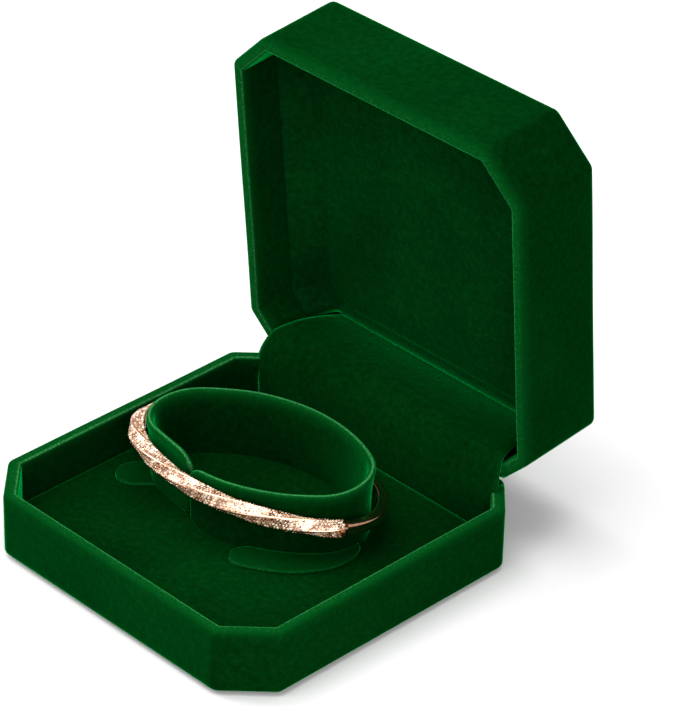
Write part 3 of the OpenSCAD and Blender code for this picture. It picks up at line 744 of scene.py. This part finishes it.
def frontTab(s):
    # a strip along the collar's foot: its left end is round, and to the right it tapers like a crescent:
    # reach times (1 - taper times the share of the way along, to the power taperBend)
    phi = np.linspace(s["frontFrom"], s["frontTo"], 110)
    inner = ovalAt(phi, -0.3)
    run = np.linalg.norm(np.diff(inner, axis=0), axis=1)
    d = np.concatenate([[0], np.cumsum(run)])
    late = np.clip((d / d[-1] - s["taperFrom"]) / (1 - s["taperFrom"]), 0, 1)
    outer = ovalAt(phi, s["reach"] * (1 - s["taper"] * late ** s["taperBend"]))
    half = np.linalg.norm(outer - inner, axis=1) / 2
    grow = np.sqrt(np.clip(1 - (1 - np.minimum(d / half.max(), 1)) ** 2, 0.01, 1))
    return flatTab((inner + outer) / 2, (outer - inner) / (2 * half[:, None]), half * grow, s)


def leftTab(s):
    # a short tongue with a round end, leaving the collar's foot at an angle
    way = math.radians(s["leftWay"])
    ahead = np.array([math.cos(way), math.sin(way)])
    d = np.linspace(s["leftFrom"], s["leftLong"], 50)
    centre = np.array(s["leftAt"]) + d[:, None] * ahead
    r, left = s["leftRound"], s["leftLong"] - d
    wide = s["leftHalf"] - np.where(left < r, r - np.sqrt(np.maximum(r * r - (r - left) ** 2, 0)), 0)
    beside = np.repeat([[-ahead[1], ahead[0]]], len(d), 0)
    return flatTab(centre, beside, np.maximum(wide, 0.3), s)


for name, made, node in (("collar_tab_front", frontTab(tabShape), "tab_front"),
                         ("collar_tab_left", leftTab(tabShape), "tab_left")):
    tab = putMesh(name, made[0], gridQuads(*made[0].shape[:2]), values=made[1])
    fit(tab, pileGreen, "insert", node)
print("collar and tabs made")

bangleShape = {"off": 3.15, "height": 18.8, "leanFront": 9.6, "leanSide": 2.3,
               "hingePhi": 150.0, "claspPhi": 329.0, "endGap": 2.7,
               "side": 3.8, "pitch": 76.0, "start": 20.0, "ridge": 0.28, "sink": 0.16,
               "stoneR": 0.40, "rows": (-1.08, -0.36, 0.36, 1.08), "stoneStep": 0.80,
               "plainStart": 0.4, "plainEnd": 0.7,
               "seed": 7, "strayRun": 0.07, "strayAcross": 0.05, "tilt": 0.13}


def placedBangle(p, s=bangleShape):
    # the flat bangle is turned with the collar, leaned front to back and sideways, and lifted to its height
    a, b, c = (math.radians(d) for d in (collarShape["turn"], -s["leanFront"], s["leanSide"]))
    m = Matrix.Rotation(c, 3, "Y") @ Matrix.Rotation(b, 3, "X") @ Matrix.Rotation(a, 3, "Z")
    return p @ np.array(m).T + np.array([*collarShape["at"], s["height"]])


tipR = collarShape["tip"] + bangleShape["off"]
gapPhi = math.degrees(bangleShape["endGap"] / tipR)
phiDense = np.linspace(bangleShape["hingePhi"] + gapPhi, bangleShape["claspPhi"], 3000)
lineDense = ovalAt(phiDense, bangleShape["off"])
runDense = np.concatenate([[0], np.cumsum(np.linalg.norm(np.diff(lineDense, axis=0), axis=1))])


def onBar(run, outwardBy, upBy, s=bangleShape):
    # a point at a distance along the bar, off its centre line in the twisted section's own directions
    phi = np.interp(run, runDense, phiDense)
    mid = ovalAt(phi, s["off"])
    turn = np.radians(s["start"] + 360 * run / s["pitch"])
    rad = np.radians(phi)
    o = outwardBy * np.cos(turn) - upBy * np.sin(turn)
    u = outwardBy * np.sin(turn) + upBy * np.cos(turn)
    return np.stack([mid[..., 0] + o * np.cos(rad), mid[..., 1] + o * np.sin(rad), u], -1)


def squareSection(s, perSide=9):
    # a square with slightly hollow faces and rounded polished ridges
    half = s["side"] / 2
    q = np.linspace(-1, 1, perSide)[:-1]
    depth = half - s["sink"] * (1 - np.abs(q) ** 4) - s["ridge"] * np.abs(q) ** 14
    slide = q * (half - s["ridge"] * 0.5)
    quarter = [(round(math.cos(k * math.pi / 2)), round(math.sin(k * math.pi / 2))) for k in range(4)]
    return np.concatenate([np.stack([depth * c - slide * t, depth * t + slide * c], -1) for c, t in quarter])


section = squareSection(bangleShape)
runs, sectionX = np.meshgrid(np.linspace(0, runDense[-1], 300), section[:, 0], indexing="ij")
grid = onBar(runs, sectionX, section[None, :, 1] + 0 * runs)
bar = capped(placedBangle(grid))
bangleBar = putMesh("bangle_twisted_bar", bar, gridQuads(*bar.shape[:2]))
fit(bangleBar, roseGold, "bangle_front", "bangle_front_bar", "clasp_box", slot="rose_gold")


def stoneField(s):
    # small domed stones in rows along each face, each one tipped a little its own way
    rng = np.random.default_rng(s["seed"])
    half = s["side"] / 2 - s["sink"]
    count = int((runDense[-1] - s["plainStart"] - s["plainEnd"]) / s["stoneStep"])
    run = (np.arange(count) + 0.5) * s["stoneStep"] + s["plainStart"]
    face, row, r = np.meshgrid(np.arange(4), np.arange(len(s["rows"])), run, indexing="ij")
    r = (r + (row % 2) * s["stoneStep"] / 2).ravel()
    face, across = face.ravel() * math.pi / 2, np.array(s["rows"])[row.ravel()]
    # a stone is three rings of six points: its girdle in the bar, its shoulder and its flat top
    a = np.arange(6) * math.pi / 3
    rings = [(1.0, -0.14), (0.92, 0.07), (0.52, 0.17)]
    dx = np.concatenate([k * np.cos(a + i * math.pi / 6) for i, (k, h) in enumerate(rings)]) * s["stoneR"]
    dy = np.concatenate([k * np.sin(a + i * math.pi / 6) for i, (k, h) in enumerate(rings)]) * s["stoneR"]
    dz = np.concatenate([np.full(6, h) for k, h in rings])
    r = r + rng.normal(0, s["strayRun"], len(r))
    across = across + rng.normal(0, s["strayAcross"], len(r))
    tip = rng.normal(0, s["tilt"], (len(r), 2))
    z = dz[None] + dx[None] * tip[:, :1] + dy[None] * tip[:, 1:]
    depth, slide = half + z, across[:, None] + dy[None]
    c, t = np.cos(face)[:, None], np.sin(face)[:, None]
    points = onBar(r[:, None] + dx[None], depth * c - slide * t, depth * t + slide * c)
    n = len(dx)
    j = np.arange(6)
    lower = np.stack([j, (j + 1) % 6, 6 + (j + 1) % 6, 6 + j], -1)
    upper = np.stack([6 + j, 6 + (j + 1) % 6, 12 + (j + 1) % 6, 12 + j], -1)
    caps = np.array([[12, 13, 14, 15], [15, 16, 17, 12], [3, 2, 1, 0], [0, 5, 4, 3]])
    quads = np.concatenate([lower, upper, caps])
    return points, (quads[None] + (np.arange(len(r)) * n)[:, None, None]).reshape(-1, 4)


points, quads = stoneField(bangleShape)
paving = putMesh("bangle_paving", placedBangle(points), quads, smooth=False)
fit(paving, stones, "bangle_front", "bangle_stones", slot="stones")
print("bangle set with stones")

floorReach = 4.0
floorMesh = bpy.data.meshes.new("floor")
corners = [(-1, -1), (1, -1), (1, 1), (-1, 1)]
floorMesh.from_pydata([(x * floorReach, y * floorReach, 0) for x, y in corners], [], [(0, 1, 2, 3)])
floor = bpy.data.objects.new("floor", floorMesh)
bpy.context.scene.collection.objects.link(floor)
paper = Maker("paleFloor")
paper.shader.inputs["Base Color"].default_value = (*lightSetup["floor"], 1)
paper.shader.inputs["Roughness"].default_value = 0.9
dress(floor, paper.mat)
